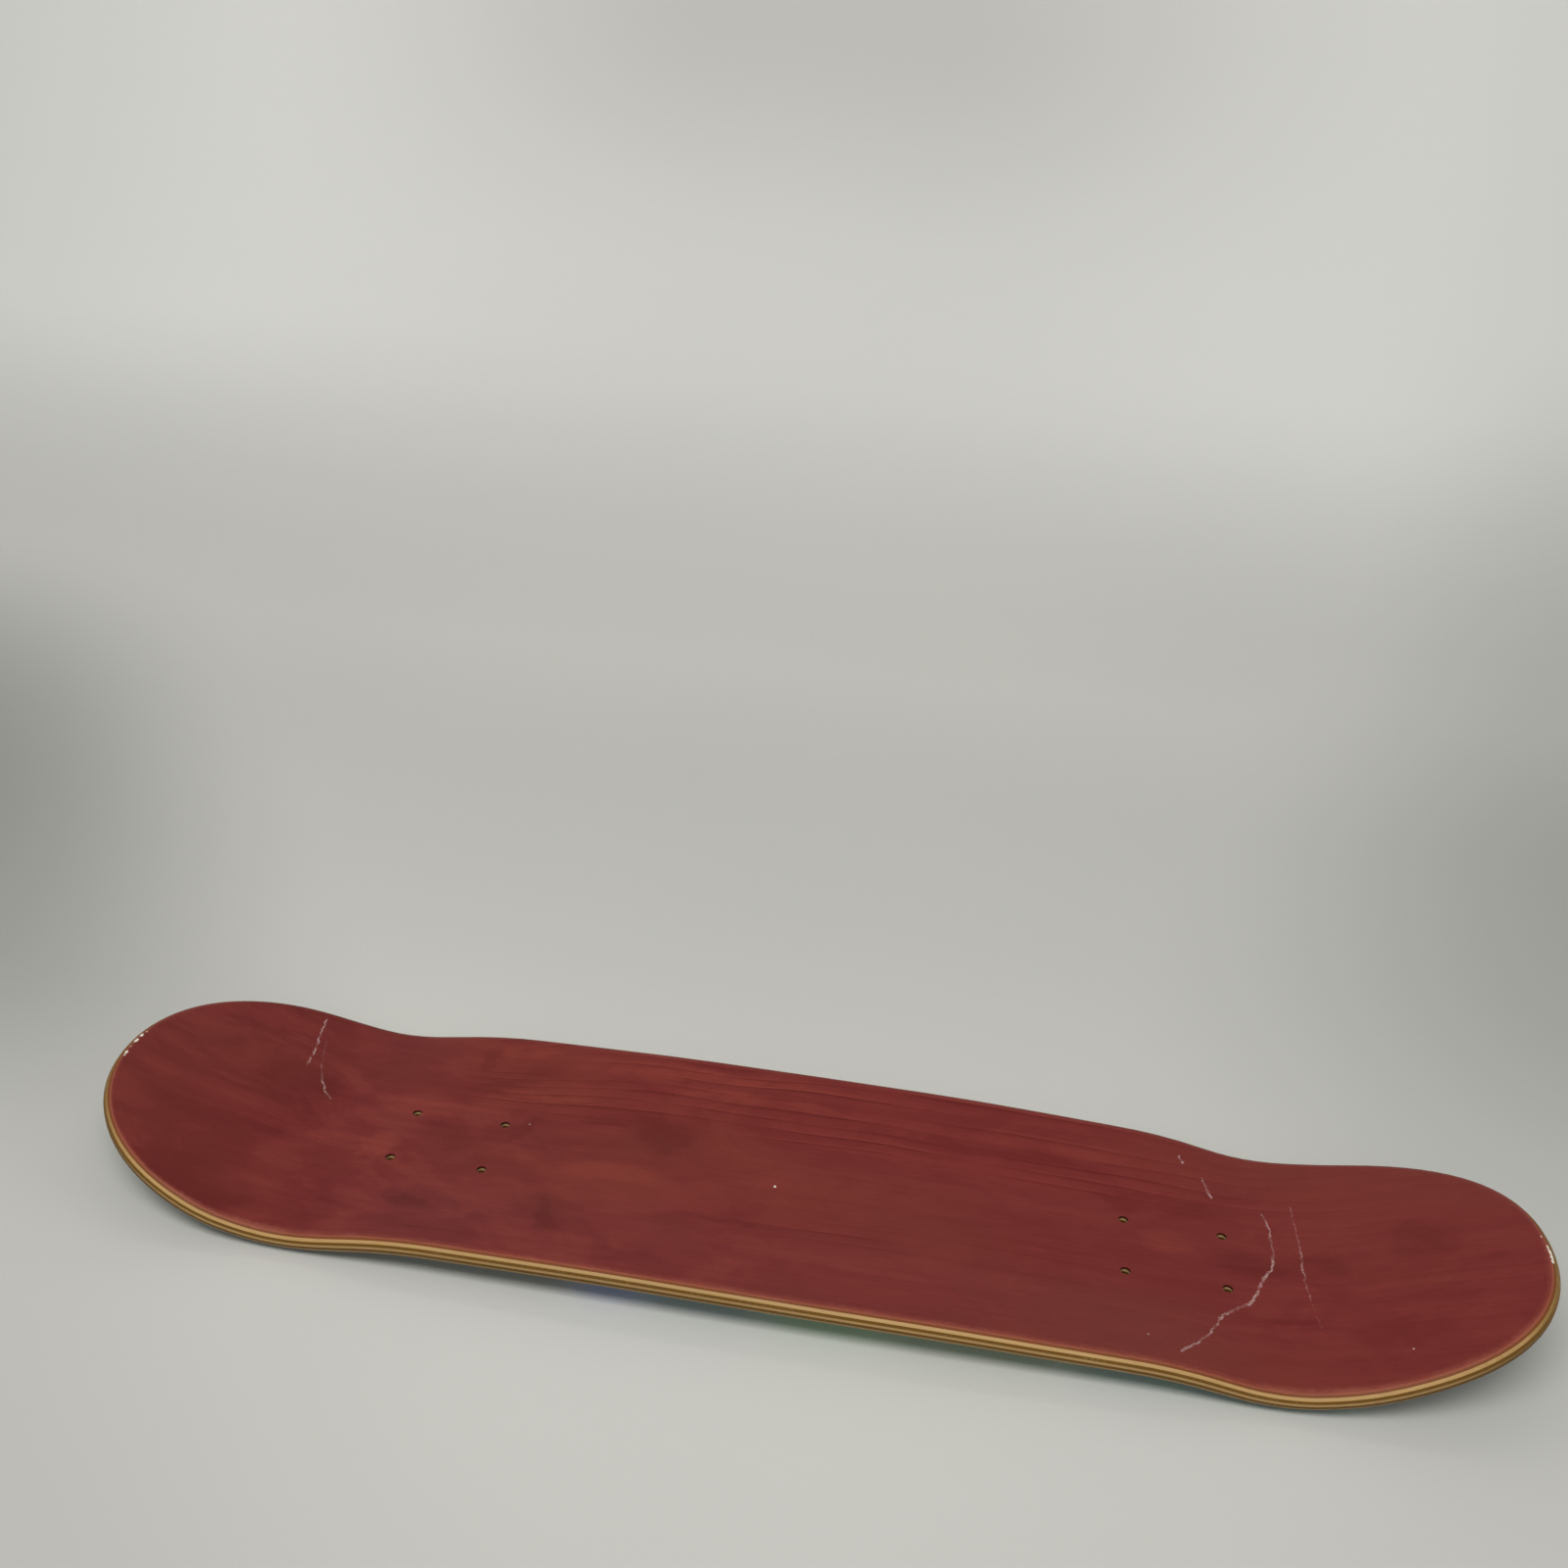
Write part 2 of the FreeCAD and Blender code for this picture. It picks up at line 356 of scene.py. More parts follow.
start, length, slope = of_end("start"), of_end("length"), of_end("slope")
middle, reach = of_end("middle"), of_end("reach")
seat = bend(out - SEAT_START, SEAT_BEND) * SEAT_SLOPE
kick = bend(out - start, length) * slope
rise = CONCAVE - ease(out - INNER_BOLT, middle - INNER_BOLT) * (CONCAVE - CONCAVE_AT_BENDS)
rise = rise - ease(out - middle, reach - middle) * CONCAVE_AT_BENDS
whole_rail = RAIL_BEND / 2 + HALF_WIDTH - RAIL_START - RAIL_BEND
rail = bend(across - RAIL_START, RAIL_BEND) / whole_rail
top = kick - seat + rise * rail + LIFT
tilt = ((out - start) / length).clamped() * slope
square = (tilt * tilt + 1.0).math("INVERSE_SQRT")
feed(wanted["Depth"], (top - z * MM) * square)
feed(wanted["Run"], run)
feed(wanted["Across"], y * MM)
print("the rail rises", CONCAVE, "mm over", HALF_WIDTH - RAIL_START, "mm")

# %% [markdown]
# The way in from the sawn outline is worked out as well, for wear along the rim.
# The outline is where a level reaches 1: the share of the way to the tip, to one
# power, plus the share of the way to the side, to another. How far the level is
# from 1, divided by how steeply it rises, is close to the true distance there.

# %% Way in from the outline
FLATTEST = 0.002  # least steepness, so that the middle of the deck divides by no zero

round_from = of_end("round_from")
power_along = of_end("power_along")
power_across = of_end("power_across")
narrowed = least(out, of_end("taper_end"))
half_here = HALF_WIDTH - narrowed * narrowed * of_end("taper")
round_length = reach - round_from
share_along = most((out - round_from) / round_length, 0.0)
share_across = across / half_here
level = share_along.math("POWER", power_along) + share_across.math("POWER", power_across)
rise_along = power_along * share_along.math("POWER", power_along - 1.0) / round_length
rise_across = power_across * share_across.math("POWER", power_across - 1.0) / half_here
steepness = most(length_of(rise_along, rise_across), FLATTEST)
feed(wanted["Inside"], (1.0 - level) / steepness)
print("Sheet depth has", len(sheet_depth.nodes), "nodes")

# %% [markdown]
# ## Maple figure
# Face veneers are peeled from a turning log with a long knife. Where the knife runs along a growth ring
# it draws long wavy lines, and where it only grazes one it leaves clouds and swirls. Stain makes both
# plainer, because softer wood drinks more of it. The clouds are noise, with some larger ones placed one
# by one where this veneer has them: dark ones, and bright ones of negative strength.
# Each is a bell curve of the distance to its middle, and the place that it
# reads is pushed about by noise first, so that it comes out ragged.

# %% Cloud
cloud, given, wanted = new_group(
    "Cloud",
    [("X", "float"), ("Y", "float"), ("Middle X", "float"), ("Middle Y", "float")]
    + [("Half length", "float"), ("Half width", "float")],
    [("Mask", "float")],
)
away_x = (given["X"] - given["Middle X"]) / given["Half length"]
away_y = (given["Y"] - given["Middle Y"]) / given["Half width"]
spot = bell(away_x, away_y)
feed(wanted["Mask"], spot * 0.45 + spot.step(0.22, 0.62) * 0.55)
print("Cloud has", len(cloud.nodes), "nodes")

# %% [markdown]
# Here is where this veneer has its clouds. They were read off the photograph,
# one row for each.

# %% Clouds of this veneer
# Middle along and across, half length and half width in millimetres, strength
CLOUDS = [
    (-307, 24, 24, 20, 0.55),
    (-352, -21, 20, 15, 0.35),
    (-300, -12, 22, 16, 0.30),
    (-318, -76, 32, 16, 0.60),
    (-252, -64, 13, 22, 0.35),
    (-207, -1, 17, 19, 0.50),
    (-166, 20, 7, 19, 0.55),
    (-205, -56, 9, 9, 0.60),
    (-130, -54, 6, 19, 0.55),
    (-205, 74, 7, 14, 0.85),
    (-182, 52, 16, 6, 0.60),
    (-78, 25, 13, 12, 0.95),
    (-100, 36, 34, 5, 0.55),
    (-36, -36, 30, 2.5, 0.60),
    (-60, -70, 18, 16, 0.25),
    (96, 56, 60, 5, 0.50),
    (205, 34, 38, 7, 0.50),
    (250, 1, 24, 9, 0.50),
    (286, 2, 15, 8, 0.55),
    (335, 14, 16, 14, 0.50),
    (262, -43, 18, 3.5, 0.50),
    (320, -52, 26, 12, 0.30),
    (-228, 27, 30, 12, -0.75),
    (-242, -14, 11, 10, -0.90),
    (-282, -40, 17, 30, -0.60),
    (-190, 84, 34, 9, -0.60),
    (-158, 51, 34, 2.6, -0.80),
    (-104, -8, 26, 10, -0.65),
    (-158, -4, 22, 8, -0.40),
    (-60, 82, 70, 5, -0.45),
    (-30, 66, 60, 3, -0.45),
    (-20, 6, 60, 22, -0.25),
    (204, 9, 16, 9, -0.50),
    (60, -48, 90, 12, -0.25),
    (150, 66, 50, 8, -0.30),
]
print("clouds placed:", len(CLOUDS))

# %% [markdown]
# Noise pushes the place about before the clouds are read. A fine mottle of the
# same kind lies under them; it is stronger on the tail's half.

# %% Ragged clouds
PUSH_ALONG, PUSH_ACROSS = 62.0, 30.0  # in millimetres, from the lowest noise to the highest

maple_figure, given, wanted = new_group(
    "Maple figure",
    [("Place", "vector")],
    [("Lines", "float"), ("Streaks", "float"), ("Fibres", "float")]
    + [("Rays", "float"), ("Clouds", "float")],
)
place = given["Place"]
x, y, z = place.parts()
push_x = place.stretched(17.0, 24.0, 17.0).noise(1.0, 4.0, 0.6)
push_y = place.moved(0.4, 0.9, 0.0).stretched(17.0, 24.0, 17.0).noise(1.0, 4.0, 0.6)
bent_x, bent_y = x * MM + (push_x - 0.5) * PUSH_ALONG, y * MM + (push_y - 0.5) * PUSH_ACROSS
tail_side = 1.0 - x.step(-0.11, 0.04) * 0.55
mottle = place.stretched(15.0, 27.0, 15.0).noise(1.0, 5.0, 0.62, 1.1)
clouds = ((mottle - 0.5) * 2.3 + (mottle.step(0.44, 0.57) - 0.5) * 0.24) * tail_side
for middle_x, middle_y, half_x, half_y, strength in CLOUDS:
    found = place_group(
        maple_figure, cloud, X=bent_x, Y=bent_y, Middle_X=float(middle_x), Middle_Y=float(middle_y),
        Half_length=float(half_x), Half_width=float(half_y),
    )["Mask"]
    clouds = clouds + found * strength
feed(wanted["Clouds"], clouds)
print("Maple figure has", len(maple_figure.nodes), "nodes with its clouds")

# %% [markdown]
# The lines are the contour lines of a soft field that is stretched along the
# deck. The fraction of a growing number climbs from 0 to 1 and drops back; a
# high power of it is a thin dark line, soft on one side and sharp on the other,
# as late wood is. A wave texture would give lines too, but evenly spaced ones.
# They are strong along the far side and in one narrow lane, and faint elsewhere.

# %% Growth lines
LINES_PER_METRE = 128.0
SWIRL_MIDDLE, SWIRL_HALF = (-0.205, 0.080), (0.050, 0.030)  # a bulge in the lines, in metres
LANE_MIDDLE, LANE_HALF = -0.031, 0.010

wander = place.stretched(2.4, 8.0, 1.0).moved(3.7, 0.4, 0.0).noise(1.0, 3.0, 0.5)
swirl_x = (x - SWIRL_MIDDLE[0]) / SWIRL_HALF[0]
swirl_y = (y - SWIRL_MIDDLE[1]) / SWIRL_HALF[1]
phase = (wander * 5.4 + y * LINES_PER_METRE + bell(swirl_x, swirl_y) * 2.6).math("FRACT")
late_wood = phase.math("POWER", 6.0) * (1.0 - phase.step(0.955, 1.0))
early_wood = (1.0 - phase).math("POWER", 8.0)
far_side = y.step(0.026, 0.046) * x.step(-0.225, -0.180) * (1.0 - x.step(0.08, 0.24) * 0.7)
near_lane = bell((y - LANE_MIDDLE) / LANE_HALF) * x.step(-0.09, -0.05) * (1.0 - x.step(0.13, 0.18))
patchy = place.stretched(7.0, 60.0, 7.0).noise(1.0, 3.0, 0.55).step(0.36, 0.66)
feed(wanted["Lines"], (late_wood - early_wood * 0.45) * (far_side + near_lane * 0.6 + 0.16) * patchy)
print("Maple figure has", len(maple_figure.nodes), "nodes with its lines")

# %% [markdown]
# Broad streaks, fine fibres and short rays lie over all of it. They are noise
# too, stretched by different amounts: the larger the number across the deck,
# the thinner the fibre.

# %% Streaks, fibres and rays
streaks = place.stretched(3.4, 105.0, 3.4).noise(1.0, 4.0, 0.55)
feed(wanted["Streaks"], streaks)
curl = place.stretched(70.0, 230.0, 70.0).noise(1.0, 4.0, 0.7, 0.8)
fibres = place.stretched(9.0, 520.0, 300.0).noise(1.0, 3.0, 0.6) * 0.5 + curl * 0.5
feed(wanted["Fibres"], fibres)
rays = place.stretched(160.0, 1500.0, 300.0).noise(1.0, 1.0, 0.5).step(0.62, 0.78)
feed(wanted["Rays"], rays)
print("Maple figure has", len(maple_figure.nodes), "nodes")

# %% [markdown]
# ## Scratches
# A scratch is a line of short ticks where something dragged over the lacquer.
# Each stroke is a chain of straight runs; a point's distance to the nearest run
# decides whether it is scratched, and noise breaks the line into ticks. Thin
# strips of mesh laid on the face would look stuck on, and would not follow the
# curve of the kicks.

# %% Distance to a run
run_distance, given, wanted = new_group(
    "Distance to a run",
    [("X", "float"), ("Y", "float"), ("From X", "float"), ("From Y", "float")]
    + [("To X", "float"), ("To Y", "float")],
    [("Distance", "float")],
)
to_x, to_y = given["X"] - given["From X"], given["Y"] - given["From Y"]
run_x, run_y = given["To X"] - given["From X"], given["To Y"] - given["From Y"]
share = ((to_x * run_x + to_y * run_y) / (run_x * run_x + run_y * run_y)).clamped()
off_x, off_y = to_x - run_x * share, to_y - run_y * share
feed(wanted["Distance"], length_of(off_x, off_y))
print("Distance to a run has", len(run_distance.nodes), "nodes")

# %% [markdown]
# Two long scratches cross the nose half, with two short ones beside them, and
# two more lie at the tail. Each is written down in strokes, so that its strength
# can change on the way. Noise moves the place by a millimetre or so first, which
# makes the line tremble.

# %% Scratches
TREMBLE = 3.2  # in millimetres, from the lowest noise to the highest

# Strokes in millimetres from the middle of the deck, with half width and strength
STROKES = [
    (0.42, 0.85, [(-314, 84), (-312.5, 74), (-309, 57), (-307, 40)]),
    (0.40, 0.16, [(-306, 65), (-300, 44)]),
    (0.45, 0.75, [(-300, 44), (-295, 33), (-288, 23), (-283, 19)]),
    (0.50, 0.9, [(260, 43), (262, 39), (263.5, 27.5), (263.5, 12), (261.5, -2), (257.5, -7)]),
    (0.62, 1.0, [(257.5, -7), (252.5, -19), (247.5, -30), (241.5, -34), (232.5, -42), (228.5, -50)]),
    (0.52, 0.95, [(228.5, -50), (223, -61), (217, -69), (208, -79)]),
    (0.36, 0.34, [(276.5, 50), (277.5, 33), (278, 15)]),
    (0.42, 0.62, [(278, 15), (277.5, 3), (277.5, -10)]),
    (0.40, 0.36, [(277.5, -10), (278.5, -24)]),
    (0.32, 0.1, [(279, -26), (281, -44)]),
    (0.5, 0.95, [(216, 78), (218, 74)]),
    (0.6, 1.0, [(229, 65), (231, 57), (233, 51)]),
]

scratches, given, wanted = new_group("Scratches", [("Place", "vector")], [("Mask", "float")])
x, y, z = given["Place"].parts()
drag = given["Place"].noise(310.0, 2.0, 0.6)
jag = given["Place"].moved(0.3, 0.7, 0.0).noise(330.0, 2.0, 0.6)
x_mm, y_mm = x * MM + (drag - 0.5) * TREMBLE, y * MM + (jag - 0.5) * TREMBLE
mask = None
for half, strength, points in STROKES:
    nearest = None
    for (from_x, from_y), (to_x, to_y) in zip(points, points[1:]):
        found = place_group(
            scratches, run_distance, X=x_mm, Y=y_mm, From_X=float(from_x), From_Y=float(from_y),
            To_X=float(to_x), To_Y=float(to_y),
        )["Distance"]
        nearest = found if nearest is None else least(nearest, found)
    stroke = (1.0 - nearest.step(half * 0.3, half * 1.9)) * strength
    mask = stroke if mask is None else most(mask, stroke)
ticks = given["Place"].stretched(800.0, 1500.0, 900.0).noise(1.0, 3.0, 0.7).step(0.43, 0.57)
breaks = given["Place"].moved(0.0, 0.31, 0.0).noise(210.0, 2.0, 0.6).step(0.42, 0.53)
feed(wanted["Mask"], (mask * (ticks * 0.85 + 0.15) * (breaks * 0.72 + 0.28) * 1.3).clamped())
print("Scratches has", len(STROKES), "strokes and", len(scratches.nodes), "nodes")

# %% [markdown]
# ## Chips and specks
# The rim is chipped white in a few places at both tips, where the deck has
# knocked against something, and a few specks lie on the face. Each is an
# uneven spot: a distance to its middle, made ragged by noise.

# %% Chips
# Place along and across, half length and half width in millimetres, and strength
CHIPS = [
    (-391.9, 11.8, 0.6, 0.8, 0.5),
    (-392.7, 7.8, 1.0, 1.8, 1.0),
    (-393.0, 2.2, 1.1, 2.4, 1.0),
    (-393.0, -4.0, 0.5, 0.7, 0.35),
    (-392.5, -9.6, 1.0, 1.6, 1.0),
    (-392.1, -12.2, 0.7, 0.8, 0.7),
    (392.6, 8.0, 0.5, 0.7, 0.8),
    (393.7, 0.5, 0.7, 1.6, 0.9),
    (394.0, -3.5, 0.9, 2.4, 1.0),
    (394.2, -7.5, 1.1, 2.6, 1.0),
    (393.8, -10.5, 1.0, 1.5, 1.0),
    (217.5, 74.0, 0.7, 0.6, 0.3),
    (-11.5, 0.6, 0.7, 1.0, 1.0),
    (-162.0, 24.0, 0.5, 0.6, 0.35),
    (192.0, -71.0, 0.6, 0.6, 0.45),
    (321.0, -61.5, 0.6, 0.6, 0.45),
]

chips, given, wanted = new_group("Chips", [("Place", "vector")], [("Mask", "float")])
x, y, z = given["Place"].parts()
ragged = (given["Place"].noise(700.0, 3.0, 0.6) - 0.5) * 1.6
mask = None
for middle_x, middle_y, half_x, half_y, strength in CHIPS:
    away_x, away_y = (x * MM - middle_x) / half_x, (y * MM - middle_y) / half_y
    away = length_of(away_x, away_y) + ragged
    chip = (1.0 - away.step(0.7, 1.05)) * strength
    mask = chip if mask is None else most(mask, chip)
feed(wanted["Mask"], mask)
print("Chips has", len(CHIPS), "spots and", len(chips.nodes), "nodes")

# %% [markdown]
# ## Where the holes are
# The drilled holes show fresh wood, paler than the sanded edge, under a darker rim. They are found by
# folding the deck: the absolute value of the distance from a truck's middle brings all eight holes onto
# one.

# %% Holes
BOLT_MIDDLE, BOLT_HALF_ALONG, BOLT_HALF_ACROSS = 206.39, 26.99, 20.64
REACH_FROM, REACH_TO = 2.95, 3.05  # just past the hole's own 2.75 mm


def near_hole(depth):
    """1 within 3 mm of a bolt hole's middle; the outputs of Sheet depth give the place."""
    along = (depth["Run"].math("ABSOLUTE") - BOLT_MIDDLE).math("ABSOLUTE") - BOLT_HALF_ALONG
    across = depth["Across"].math("ABSOLUTE") - BOLT_HALF_ACROSS
    return 1.0 - length_of(along, across).step(REACH_FROM, REACH_TO)


print("bolt holes at", BOLT_MIDDLE - BOLT_HALF_ALONG, "and", BOLT_MIDDLE + BOLT_HALF_ALONG, "mm")

# %% [markdown]
# ## Sanded edge wood
# The edge shows each veneer's own cut. Where the fibres run along the edge the
# wood is pale and streaky; where they meet it end on, the open pores drink the
# lacquer and the wood turns brown. So a ply's edge changes round the deck, and
# the cross-grain plies do the opposite of the long-grain ones. One field of
# fibres, stretched along the grain, gives streaks on one face and dots on the
# other with no switch. A dark glue line lies at every border between plies: the
# fraction of the depth, counted in plies, says how near the next border is.

# %% Grain and glue of the edge
edge_wood, given, wanted = new_group(
    "Edge wood",
    [
        ("Place", "vector"), ("Normal", "vector"), ("Cross grain", "float"),
        ("Side colour", "colour"), ("End colour", "colour"), ("Glue colour", "colour"),
    ],
    [("Colour", "colour"), ("End grain", "float"), ("Height", "float")],
)
normal_x, normal_y, normal_z = given["Normal"].parts()
x, y, z = given["Place"].parts()
cross = given["Cross grain"]
facing = normal_x * (1.0 - cross) + normal_y * cross
end_grain = facing.math("ABSOLUTE").step(0.08, 0.68)
long_fibres = given["Place"].stretched(14.0, 900.0, 900.0).noise(1.0, 3.0, 0.6)
cross_fibres = given["Place"].stretched(900.0, 14.0, 900.0).noise(1.0, 3.0, 0.6)
fibres = long_fibres * (1.0 - cross) + cross_fibres * cross
blotch = given["Place"].stretched(24.0, 24.0, 60.0).noise(1.0, 3.0, 0.55)
depth = place_group(edge_wood, sheet_depth, Place=given["Place"])
layer = (depth["Depth"] / PLY + 0.5).math("FRACT")
to_glue = ((layer - 0.5) * PLY).math("ABSOLUTE")
glue = (1.0 - to_glue.step(0.04, 0.16)) * blotch.step(0.15, 0.65)
print("Edge wood has", len(edge_wood.nodes), "nodes with its grain")

# %% [markdown]
# The colour is laid on as a painter would: the wood's own, then darker and lighter fibres, the fresh wood
# of the holes, painted shade, glue, and one small dent at the nose. The painted shade grows towards the
# bottom of the edge, where less light reaches, and a patch before the middle is darker as well.

# %% Colour of the edge
DARK_FIBRE, PALE_FIBRE = paint(92, 58, 20), paint(232, 196, 134)
FRESH_ALONG, FRESH_ACROSS = paint(238, 208, 160), paint(70, 46, 20)
PAINTED_SHADE_BROWN, DENT = paint(58, 46, 12), paint(52, 34, 20)
DARKER_PATCH_AT = -0.085
DENT_MIDDLE, DENT_HALF = (0.3262, -0.0880), (0.0016, 0.0018)  # in metres

darker_patch = (1.0 - (x - DARKER_PATCH_AT).math("ABSOLUTE").step(0.05, 0.16)) * (1.0 - y.step(-0.09, -0.05))
at_hole = near_hole(depth)
# Painted shade: darker with depth below the top face, except at the holes, plus the darker patch and a
# little everywhere
painted_shade_and_patch = depth["Depth"].step(0.5, 10.0) * (1.0 - at_hole) * 0.42 + darker_patch * 0.10 + 0.06
wood = end_grain.blend(given["Side colour"], given["End colour"])
shade = (fibres - 0.5) * 0.75 + (blotch - 0.5) * 0.55
darker = (-shade).step(0.0, 0.5) * 0.55
lighter = shade.step(0.0, 0.5) * 0.40
wood = darker.blend(wood, DARK_FIBRE)
wood = lighter.blend(wood, PALE_FIBRE)
wood = (at_hole * (1.0 - cross) * 0.35).blend(wood, FRESH_ALONG)
wood = (at_hole * cross * 0.5).blend(wood, FRESH_ACROSS)
wood = painted_shade_and_patch.blend(wood, PAINTED_SHADE_BROWN)
wood = (glue * 0.45).blend(wood, given["Glue colour"])
dent_x = (x - DENT_MIDDLE[0]) / DENT_HALF[0]
dent_y = (y - DENT_MIDDLE[1]) / DENT_HALF[1]
dent = 1.0 - length_of(dent_x, dent_y).step(0.5, 1.2)
wood = (dent * 0.85).blend(wood, DENT)
feed(wanted["Colour"], wood)
feed(wanted["End grain"], end_grain)
feed(wanted["Height"], fibres * 0.6 + (1.0 - glue) * 0.4)
print("Edge wood has", len(edge_wood.nodes), "nodes")

# %% [markdown]
# ## The finishes
# A material keeps its own Principled BSDF and bump. This helper starts one and
# joins the colour, roughness and height that a finish has worked out.


# %% Starting a finish
def new_finish(name):
    """New material, with its node tree and its Principled BSDF."""
    material = bpy.data.materials.new(name)
    material.use_nodes = True
    tree = material.node_tree
    shader = tree.nodes["Principled BSDF"]
    return material, tree, shader


def apply_relief(tree, shader, height, depth_mm, strength):
    """Bump from a height between 0 and 1, its full step being depth_mm."""
    relief = tree.nodes.new("ShaderNodeBump")
    relief.inputs["Strength"].default_value = strength
    relief.inputs["Distance"].default_value = depth_mm / MM
    feed(relief.inputs["Height"], height)
    tree.links.new(relief.outputs["Normal"], shader.inputs["Normal"])


def dress(node, material):
    """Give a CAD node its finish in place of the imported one."""
    mesh = plies[node].data
    mesh.materials.clear()
    mesh.materials.append(material)
    print(node, "wears", material.name)


print("finishes are started with Principled BSDF and Bump")

# %% [markdown]
# ### Red stain on the top ply
# The stain is thin, so the figure shows through it: lines and fibres darken it,
# clouds drink more or less, and the tail drank a little more than the rest. One
# number, the strength of the stain, gathers all of that and picks the colour.

# %% Stain colours
STAIN_DEEP = paint(97, 20, 18)
STAIN_MID = paint(117, 37, 34)
STAIN_PALE = paint(137, 53, 44)
STAIN_BROWN = paint(116, 48, 36)
WORN_RIM = paint(160, 92, 74)
SANDED_PALE = paint(162, 92, 68)
PLY_EDGE = paint(124, 69, 36)
SCRATCHED = paint(196, 160, 158)
CHIPPED = paint(236, 226, 212)
HOLE_RIM = paint(52, 18, 12)
print("deepest stain, as light:", [round(value, 3) for value in STAIN_DEEP[:3]])

# %% Stain and figure
stained_face, tree, shader = new_finish("stained_face_veneer")
place = coordinates(tree)
depth = place_group(tree, sheet_depth, Place=place)
figure = place_group(tree, maple_figure, Place=place)
scratch = place_group(tree, scratches, Place=place)["Mask"]
chip = place_group(tree, chips, Place=place)["Mask"]
strength = figure["Lines"] * 0.95 + (figure["Streaks"] - 0.5) * 0.46 + (figure["Fibres"] - 0.5) * 0.62
x, y, z = place.parts()
tail_tip = 1.0 - x.step(-0.34, -0.25)
strength = strength + figure["Clouds"] * 0.52 + tail_tip * 0.20 + 0.5
colour = strength.step(-0.15, 0.62).blend(STAIN_PALE, STAIN_MID)
colour = strength.step(0.40, 1.15).blend(colour, STAIN_DEEP)
colour = (figure["Rays"] * 0.10).blend(colour, STAIN_DEEP)
broad = place.moved(0.2, 0.1, 0.0).stretched(4.0, 9.0, 4.0).noise(1.0, 2.0, 0.5)
colour = (broad.step(0.38, 0.68) * 0.45).blend(colour, STAIN_BROWN)
print("stained_face_veneer has", len(tree.nodes), "nodes with its stain")

# %% [markdown]
# The stain ends at the rounded edge, where the sander has gone through it: first a feathered, worn rim,
# then a pale line, then the ply's own brown edge. The pale rim and the pale line are strongest on the
# near side, and the rim reaches less far in at the tail. Scratches and chips show pale wood and broken
# lacquer.

# %% Worn rim, scratches and chips
RIM_FULL, RIM_END, RIM_LESS_AT_TAIL = 3.0, 8.2, 2.4  # in millimetres from the outline

ragged = (place.noise(300.0, 3.0, 0.6) - 0.5) * 0.5
near_side = 1.0 - y.step(-0.03, 0.06) * 0.9
rim_end = RIM_END - tail_tip * RIM_LESS_AT_TAIL
worn = (1.0 - (depth["Inside"] + ragged * 6.0).step(RIM_FULL, rim_end)) * near_side
patches = place.moved(0.6, 0.0, 0.2).noise(34.0, 3.0, 0.6).step(0.30, 0.70) * 0.40 + 0.24
colour = (worn * patches).blend(colour, WORN_RIM)
below = depth["Depth"] + ragged
colour = (below.step(0.22, 0.60) * (near_side * 0.5 + 0.2)).blend(colour, SANDED_PALE)
colour = below.step(0.55, 0.95).blend(colour, PLY_EDGE)
colour = (scratch * 0.85).blend(colour, SCRATCHED)
colour = chip.blend(colour, CHIPPED)
colour = (near_hole(depth) * depth["Depth"].step(0.02, 0.30) * 0.85).blend(colour, HOLE_RIM)
feed(shader.inputs["Base Color"], colour)
print("stained_face_veneer has", len(tree.nodes), "nodes with its wear")

# %% [markdown]
# The lacquer is satin: its roughness is near one half, a little more where the
# fibres stand up, and more again in scratches. A very shallow bump does the rest.

# %% Satin lacquer
rough = figure["Fibres"] * 0.10 + figure["Lines"] * 0.05 + 0.46
rough = most(rough, most(scratch, chip) * 0.75)
feed(shader.inputs["Roughness"], rough)
shader.inputs["Specular IOR Level"].default_value = 0.2
height = figure["Fibres"] * 0.7 - figure["Rays"] * 0.2 - figure["Lines"] * 0.3 - most(scratch, chip) * 1.2
apply_relief(tree, shader, height, 0.06, 0.5)
dress("ply_1_top_face", stained_face)

# %% [markdown]
# ### The inner plies
# Only their edges show, as five thin bands, and the walls of the bolt holes.

# %% Inner plies
GLUE = paint(84, 50, 18)


def veneer(name, cross, side_colour, end_colour):
    """Lacquered veneer edge; cross is 1 where its grain runs across the deck."""
    material, tree, shader = new_finish(name)
    wood = place_group(
        tree, edge_wood, Place=coordinates(tree), Normal=coordinates(tree, "Normal"),
        Cross_grain=cross, Side_colour=side_colour, End_colour=end_colour, Glue_colour=GLUE,
    )
    feed(shader.inputs["Base Color"], wood["Colour"])
    feed(shader.inputs["Roughness"], wood["End grain"] * 0.14 + 0.42)
    shader.inputs["Specular IOR Level"].default_value = 0.25
    apply_relief(tree, shader, wood["Height"], 0.05, 0.5)
    return material


long_grain = veneer("long_grain_veneer", 0.0, paint(200, 160, 104), paint(134, 98, 44))
cross_grain = veneer("cross_grain_veneer", 1.0, paint(174, 132, 70), paint(120, 82, 20))
for node in ("ply_2_long_grain", "ply_4_core", "ply_6_long_grain"):
    dress(node, long_grain)
for node in ("ply_3_cross_grain", "ply_5_cross_grain"):
    dress(node, cross_grain)

# %% [markdown]
# ### The printed underside
# The photograph never shows the underside, only its light on the floor: blue
# under the middle of the tail's half, green further on. So the print here is a
# generic one in those colours: rolling bands across a dark green ground, each
# with a pale line along its crest. Every band is a sine curve compared with the
# place, so its border stays crisp at any size.

